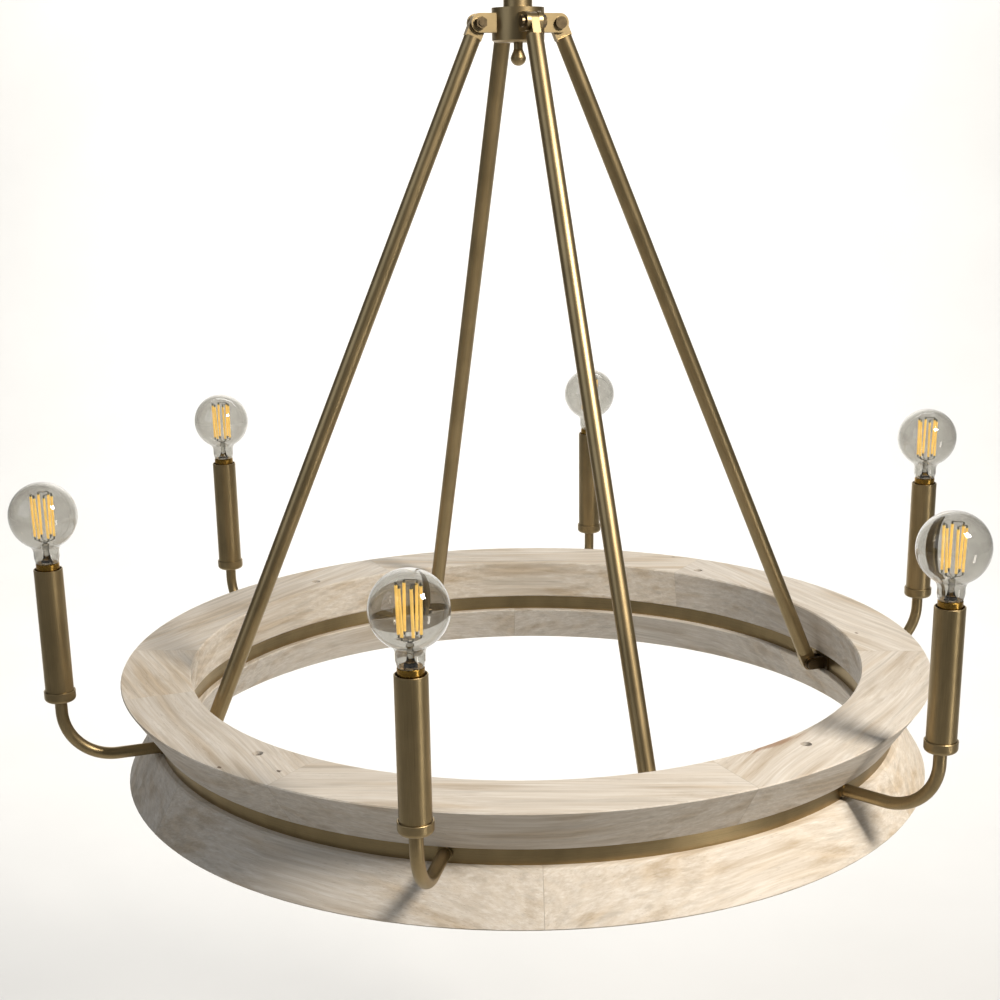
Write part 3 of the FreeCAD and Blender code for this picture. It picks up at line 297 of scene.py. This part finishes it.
def bronzeMaterial(name, look, direction):
    material, tree = newMaterial(name, look["plating"], 1.0, look["roughness"])
    place = millimetres(tree)
    fine, long = look["brushSpacingMm"], look["brushLengthMm"]
    height = addNode(tree, "SeparateXYZ", place, out=2)
    if direction == "up":  # brushed along upright tubes
        lines, spacing = place, (fine, fine, long)
    elif direction == "rods":  # brushed along the four sloping rods
        quarters = addNode(tree, "Math", azimuthOf(tree, place), math.pi / 2, operation="DIVIDE")
        nearest = addNode(tree, "Math", quarters, operation="ROUND")
        back = addNode(tree, "Math", nearest, -math.pi / 2, operation="MULTIPLY")
        facing = addNode(tree, "VectorRotate", {"Vector": place, "Angle": back}, rotation_type="Z_AXIS")
        lines = addNode(tree, "VectorRotate", {"Vector": facing, "Angle": math.radians(look["rodTiltDegrees"])},
                        rotation_type="Y_AXIS")
        spacing = (fine, fine, long)
    elif direction == "hoop":  # rolled band, brushed round its length
        level = addNode(tree, "VectorMath", place, (1.0, 1.0, 0.0), operation="MULTIPLY")
        reach = addNode(tree, "VectorMath", level, operation="LENGTH", out="Value")
        length = addNode(tree, "Math", azimuthOf(tree, place), look["bandRadiusMm"], operation="MULTIPLY")
        lines, spacing = addNode(tree, "CombineXYZ", reach, length, height), (fine, 3 * long, fine)
    else:  # turned on a lathe: lines round an upright axis
        lines, spacing = addNode(tree, "CombineXYZ", {2: height}), (1.0, 1.0, fine)
    brush = noiseMm(tree, lines, spacing, 3.0, 0.65)
    cloud = noiseMm(tree, place, look["cloudMm"], 3.0)
    speckle = noiseMm(tree, place, (look["speckleMm"],) * 3, 1.0)
    clouded = addNode(tree, "Math", cloud, 0.4, operation="MULTIPLY")
    tone = addNode(tree, "Math", brush, 0.6, clouded, operation="MULTIPLY_ADD")
    colour = paintOver(tree, look["shade"], (addNode(tree, "MapRange", tone, 0.36, 0.62), look["plating"]))
    dull = addNode(tree, "Math", brush, 0.20, look["roughness"] - 0.08, operation="MULTIPLY_ADD")
    linkSurface(tree, colour, dull, addNode(tree, "Math", brush, speckle, operation="ADD"), 0.02, 0.6)
    return material


dress(bronzeMaterial("champagneBronzeTube", champagneBronze, "up"), "stem", "swivel_fork",
      *["candle_sleeve_%d" % k for k in each], *["arm_%d" % k for k in each])
dress(bronzeMaterial("champagneBronzeRod", champagneBronze, "rods"),
      "rod_1", "rod_2", "rod_3", "rod_4", "rod_end_tongues")
dress(bronzeMaterial("champagneBronzeBand", champagneBronze, "hoop"), "ring_channel")
dress(bronzeMaterial("champagneBronzeTurned", champagneBronze, "turned"),
      "canopy", "canopy_nut", "swivel_collar", "swivel_tongue", "hub", "hub_cap", "candle_cups")
print("bronze dressed")


# small metal and hidden pieces

plainFinishes = {  # colour, metallic, roughness, grain of the surface in mm
    "zincPlatedSteel": ("#A9A9A2", 1.0, 0.36, 2.5),
    "greenDyedSteel": ("#2F6B3A", 0.0, 0.45, 2.0),
    # darker than the plating: partly the pieces' own dark bronze, partly painted shade on the clevis brackets,
    # pivot screws and nuts
    "turnedBrass": ("#B79A5E", 1.0, 0.28, 1.5),
    "bronzedSteelWithPaintedShade": ("#6E604A", 1.0, 0.34, 2.0),
    # screw heads drawn near black as painted shade at the foot of the counterbores
    "zincSteelPaintedShade": ("#3B362F", 1.0, 0.45, 1.5),
    "blackInsulation": ("#1B1B1C", 0.0, 0.50, 3.0),
    "steatite": ("#E4DFD3", 0.0, 0.55, 2.0),
    "rolledBrass": ("#A8843F", 1.0, 0.27, 1.5),
}


def plainMaterial(name):
    colour, metallic, roughness, grainMm = plainFinishes[name]
    material, tree = newMaterial(name, colour, metallic, roughness)
    grain = noiseMm(tree, millimetres(tree), (grainMm,) * 3, 4.0, 0.6)
    worn = [0.82 * c for c in linearColour(colour)[:3]] + [1.0]
    shown = paintOver(tree, worn, (addNode(tree, "MapRange", grain, 0.38, 0.62, **smooth), colour))
    dull = addNode(tree, "Math", grain, 0.16, roughness - 0.08, operation="MULTIPLY_ADD")
    linkSurface(tree, shown, dull, grain, 0.02, 0.4)
    return material


plain = {name: plainMaterial(name) for name in plainFinishes}
dress(plain["zincPlatedSteel"], "ceiling_crossbar", "threaded_nipple", "nipple_locknut", "arm_lock_nuts")
dress(plain["greenDyedSteel"], "ground_screw")
dress(plain["turnedBrass"], "swivel_bush", "swivel_pin")
dress(plain["bronzedSteelWithPaintedShade"], "pivot_screws", "pivot_nuts", "clevis_brackets")
# painted shade: the ring screws' heads are darkened so that the counterbores read dark
dress(plain["zincSteelPaintedShade"], "ring_screws")
dress(plain["blackInsulation"], "wiring")
dress(plain["steatite"], "candle_sockets")
dress(plain["rolledBrass"], *["bulb_base_%d" % k for k in each])
print("small pieces dressed")


# clear blown glass, tinted grey as painted shade for the darker surroundings seen through and in the globes

blownGlass = {"tint": "#DAD9D4", "thin": "#D3D1CC", "roughness": 0.0, "index": 1.47, "seedMm": 9.0}


def glassMaterial(name, look):
    material, tree = newMaterial(name, look["tint"], 0.0, look["roughness"],
                                 {"Transmission Weight": 1.0, "IOR": look["index"]})
    wave = noiseMm(tree, millimetres(tree), (look["seedMm"],) * 3, 1.0)
    colour = paintOver(tree, look["thin"], (addNode(tree, "MapRange", wave, 0.35, 0.65), look["tint"]))
    linkSurface(tree, colour, height=wave, depthMm=0.02, strength=0.3)
    return material


globeGlass = glassMaterial("blownGlobeGlass", blownGlass)
dress(globeGlass, *["bulb_glass_%d" % k for k in each])


# amber phosphor cast over the diodes of each filament, lit low

amberPhosphor = {"core": "#FADA8C", "edge": "#EDBA5C", "glow": "#FFD070", "glowStrength": 1.0,
                 "roughness": 0.45, "grainMm": 0.4}


def phosphorMaterial(name, look):
    material, tree = newMaterial(name, look["core"], 0.0, look["roughness"],
                                 {"Emission Color": linearColour(look["glow"]),
                                  "Emission Strength": look["glowStrength"]})
    grain = noiseMm(tree, millimetres(tree), (look["grainMm"],) * 3, 2.0)
    colour = paintOver(tree, look["edge"], (addNode(tree, "MapRange", grain, 0.35, 0.6), look["core"]))
    linkSurface(tree, colour)
    return material


phosphor = phosphorMaterial("amberPhosphor", amberPhosphor)


# the six-stick filament of each bulb, in metres

filament = {
    "sticks": 6,
    "stickRadius": 0.001,
    "stickLength": 0.035,
    "circle": 0.0078,           # sticks' distance from the bulb's axis
    "screwedIn": (11, 23, 36, 42, 30, 10),  # degrees each bulb has turned
    "unevenTurn": 0.06,         # radians that a stick stands off its place
    "twist": 0.1,               # radians from a stick's foot to its crown
    "capLength": 0.0022,
    "capRadius": 0.00062,
    "wireRadius": 0.00028,
    "lean": 0.0011,             # most that a stick's foot stands off the upright
    "stalkCircle": 0.0012,      # wires' distance from the axis as they leave the glass foot
    "stalkDrop": 0.0035,        # their height below the sticks' feet
    "kneeReach": 0.72,          # where the wires bend, as a share of the circle
    "foot": [(0.0046, 0.0), (0.0044, 0.0012), (0.0028, 0.004), (0.0022, 0.008), (0.0020, 0.0125),
             (0.0026, 0.0145), (0.0024, 0.0158), (0.0012, 0.0166), (0.0, 0.0168)],
}


def meshPiece(name, build, material, body):
    # a piece built with bmesh, smooth shaded, riding on its body
    mesh = bpy.data.meshes.new(name)
    bm = bmesh.new()
    build(bm)
    bmesh.ops.recalc_face_normals(bm, faces=bm.faces)
    for face in bm.faces:
        face.smooth = True
    bm.to_mesh(mesh)
    bm.free()
    piece = bpy.data.objects.new(name, mesh)
    bpy.context.scene.collection.objects.link(piece)
    mesh.materials.append(material)
    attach(piece, body)
    return piece


def circlePoints(steps):
    # (cosine, sine) round a circle
    return [(math.cos(2 * math.pi * s / steps), math.sin(2 * math.pi * s / steps)) for s in range(steps)]


def addLathe(bm, profile, centre, steps=32):
    # a closed turned form from (radius, height) points, about an upright axis
    rows = []
    for radius, height in profile:
        spots = circlePoints(steps) if radius > 1e-6 else [(0.0, 0.0)]
        rows.append([bm.verts.new(centre + Vector((radius * c, radius * s, height))) for c, s in spots])
    for low, high in zip(rows, rows[1:]):
        for s in range(steps):
            after = (s + 1) % steps
            ring = [low[s % len(low)], low[after % len(low)], high[after % len(high)], high[s % len(high)]]
            corners = list(dict.fromkeys(ring))
            if len(corners) > 2:
                bm.faces.new(corners)
    for row in (rows[0], rows[-1]):
        if len(row) > 1:
            bm.faces.new(row)


def addTube(bm, points, radius, steps=10):
    # a round wire through points, with closed ends
    rows = []
    for index, point in enumerate(points):
        before = points[max(index - 1, 0)]
        after = points[min(index + 1, len(points) - 1)]
        along = (after - before).normalized()
        side = along.cross(Vector((0.31, 0.93, 0.2))).normalized()
        other = along.cross(side)
        rows.append([bm.verts.new(point + radius * (c * side + s * other)) for c, s in circlePoints(steps)])
    for low, high in zip(rows, rows[1:]):
        for s in range(steps):
            bm.faces.new([low[s], low[(s + 1) % steps], high[(s + 1) % steps], high[s]])
    bm.faces.new(rows[0])
    bm.faces.new(rows[-1])


def filamentPieces(k):
    low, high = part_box("bulb_filaments_%d" % k)
    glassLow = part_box("bulb_glass_%d" % k)[0].z
    centre = Vector(((low.x + high.x) / 2, (low.y + high.y) / 2, glassLow))
    top = high.z - glassLow
    foot = top - filament["stickLength"]
    cap = filament["capLength"]
    sticks = []
    for stick in range(filament["sticks"]):
        angle = 2 * math.pi * stick / filament["sticks"]
        angle += random.uniform(-filament["unevenTurn"], filament["unevenTurn"])
        angle += math.radians(filament["screwedIn"][k - 1])
        lean = filament["lean"] * random.uniform(0.2, 1.0)
        start = angle + filament["twist"]
        crown = Vector((math.cos(angle), math.sin(angle), 0)) * filament["circle"]
        base = Vector((math.cos(start), math.sin(start), 0)) * (filament["circle"] - lean)
        sticks.append((base + Vector((0, 0, foot)), crown + Vector((0, 0, top))))

    def addSticks(bm):
        for base, crown in sticks:
            along = (crown - base).normalized()
            a, b = base + along * cap, crown - along * cap
            addTube(bm, [centre + a, centre + a.lerp(b, 0.02), centre + a.lerp(b, 0.98), centre + b],
                    filament["stickRadius"], 12)

    def addWires(bm):
        for index, (base, crown) in enumerate(sticks):
            tip = (crown - base).normalized() * cap * 1.2  # a little way into the phosphor
            addTube(bm, [centre + base, centre + base + tip], filament["capRadius"])
            addTube(bm, [centre + crown - tip, centre + crown], filament["capRadius"])
            circle = filament["stalkCircle"]
            stalk = Vector((circle * math.cos(index), circle * math.sin(index), foot - filament["stalkDrop"]))
            knee = base * filament["kneeReach"]
            knee += Vector((0, 0, base.z * (1 - filament["kneeReach"]) - 0.0012))
            addTube(bm, [centre + stalk, centre + stalk + Vector((0, 0, 0.0012)), centre + knee,
                         centre + base + Vector((0, 0, 0.0002))], filament["wireRadius"], 8)
            if index % 2 == 0:  # crowns are joined in pairs
                other = sticks[(index + 1) % len(sticks)][1]
                middle = (crown + other) / 2 * 0.97
                middle.z = crown.z - 0.0002
                addTube(bm, [centre + crown, centre + crown.lerp(middle, 0.5), centre + middle,
                             centre + middle.lerp(other, 0.5), centre + other], filament["wireRadius"], 8)

    def addGlassFoot(bm):
        scale = (foot - 0.0032) / filament["foot"][-1][1]
        addLathe(bm, [(radius, height * scale) for radius, height in filament["foot"]], centre)

    body = "bulb_%d" % k
    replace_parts(meshPiece("filamentSticks_%d" % k, addSticks, phosphor, body),
                "bulb_filaments_%d" % k)
    meshPiece("filamentWires_%d" % k, addWires, plain["zincPlatedSteel"], body)
    meshPiece("bulbGlassFoot_%d" % k, addGlassFoot, globeGlass, body)


for k in each:
    filamentPieces(k)
print("filaments built")


# floor, light and camera

studio = {
    "paper": "#E2E0DC",
    "paperShade": "#DFDDD9",
    "mottleMm": 300.0,
    "floorDrop": 0.9,           # below the wheel
    "front": -6.0,              # where the paper starts, behind the camera
    "depth": 5.0,               # wheel to the upright part of the paper
    "width": 14.0,
    "height": 7.0,
    "bend": 1.6,
    "backdropPower": 250.0,
    "sky": 0.15,
    "skyColour": "#F2F2F0",
}
lamps = [  # name, power, size, azimuth, elevation, distance, colour
    ("keyLamp", 34.0, 0.36, -66, 42, 1.75, "#FFF7EC"),
    ("fillLamp", 13.0, 2.0, -165, 28, 2.8, "#E9F0FA"),
    ("rimLamp", 3.0, 1.4, 40, 55, 3.0, "#FFFFFF"),
    ("stripLamp", 8.0, 0.3, -58, -18, 2.6, "#FFFAF2"),
]
cameraPlace = {
    "location": (-0.44499, -1.25769, -0.30044),
    "rotation": (73.1573, 0.8244, -18.8657),
    "lens": 59.893,
    "shiftUp": 0.1,             # the photo is cut from the upper part of a wider frame
}
ahead = Vector((0, 1, 0))
ahead.rotate(Matrix.Rotation(math.radians(cameraPlace["rotation"][2]), 3, "Z"))
aside = Vector((ahead.y, -ahead.x, 0))


def addPaper():
    # one roll of pale paper: floor, bend and upright
    floorZ = cadBox[0].z - studio["floorDrop"]
    bend, depth = studio["bend"], studio["depth"]
    outline = [(studio["front"], 0.0), (depth - bend, 0.0)]
    outline += [(depth - bend + bend * math.sin(t * math.pi / 24), bend - bend * math.cos(t * math.pi / 24))
                for t in range(1, 13)]
    outline.append((depth, studio["height"]))
    mesh = bpy.data.meshes.new("studioPaper")
    bm = bmesh.new()
    rows = []
    for side in (-0.5, 0.5):
        rows.append([bm.verts.new(ahead * far + aside * side * studio["width"] + Vector((0, 0, floorZ + up)))
                     for far, up in outline])
    for index in range(len(outline) - 1):
        bm.faces.new([rows[0][index], rows[1][index], rows[1][index + 1], rows[0][index + 1]]).smooth = True
    bm.to_mesh(mesh)
    bm.free()
    paper = bpy.data.objects.new("studioPaper", mesh)
    bpy.context.scene.collection.objects.link(paper)
    material, tree = newMaterial("palePaper", studio["paper"], 0.0, 0.85)
    mottle = noiseMm(tree, millimetres(tree), (studio["mottleMm"],) * 3, 3.0)
    linkSurface(tree, paintOver(tree, studio["paperShade"],
                                (addNode(tree, "MapRange", mottle, 0.3, 0.7), studio["paper"])))
    mesh.materials.append(material)


def addLamp(name, power, size, place, target, colour):
    lamp = bpy.data.lights.new(name, "AREA")
    lamp.energy, lamp.size, lamp.color = power, size, linearColour(colour)[:3]
    holder = bpy.data.objects.new(name, lamp)
    bpy.context.scene.collection.objects.link(holder)
    holder.location = place
    holder.rotation_euler = (target - place).to_track_quat("-Z", "Y").to_euler()
    return lamp


addPaper()
wheelCentre = Vector((0, 0, ringTop))
for name, power, size, azimuth, elevation, distance, colour in lamps:
    a, e = math.radians(azimuth), math.radians(elevation)
    offset = distance * Vector((math.cos(a) * math.cos(e), math.sin(a) * math.cos(e), math.sin(e)))
    lamp = addLamp(name, power, size, wheelCentre + offset, wheelCentre, colour)
    if name == "stripLamp":  # tall and narrow, for the long lights on the tubes
        lamp.shape, lamp.size_y = "RECTANGLE", 1.3
addLamp("backdropLamp", studio["backdropPower"], 3.0, ahead * 2.2 + Vector((0, 0, 2.2)),
        ahead * studio["depth"], "#FFFFFF")
world = bpy.data.worlds.new("paleStudio")
bpy.context.scene.world = world
world.use_nodes = True
sky = world.node_tree.nodes["Background"].inputs
sky["Color"].default_value = linearColour(studio["skyColour"])
sky["Strength"].default_value = studio["sky"]
bpy.context.scene.view_settings.view_transform = "Standard"

lens = bpy.data.cameras.new("photoCamera")
lens.lens, lens.sensor_width, lens.shift_y = cameraPlace["lens"], 36.0, cameraPlace["shiftUp"]
lens.clip_start, lens.clip_end = 0.05, 60.0
camera = bpy.data.objects.new("photoCamera", lens)
bpy.context.scene.collection.objects.link(camera)
camera.location = cameraPlace["location"]
camera.rotation_euler = [math.radians(angle) for angle in cameraPlace["rotation"]]
bpy.context.scene.camera = camera
print("studio and camera set")
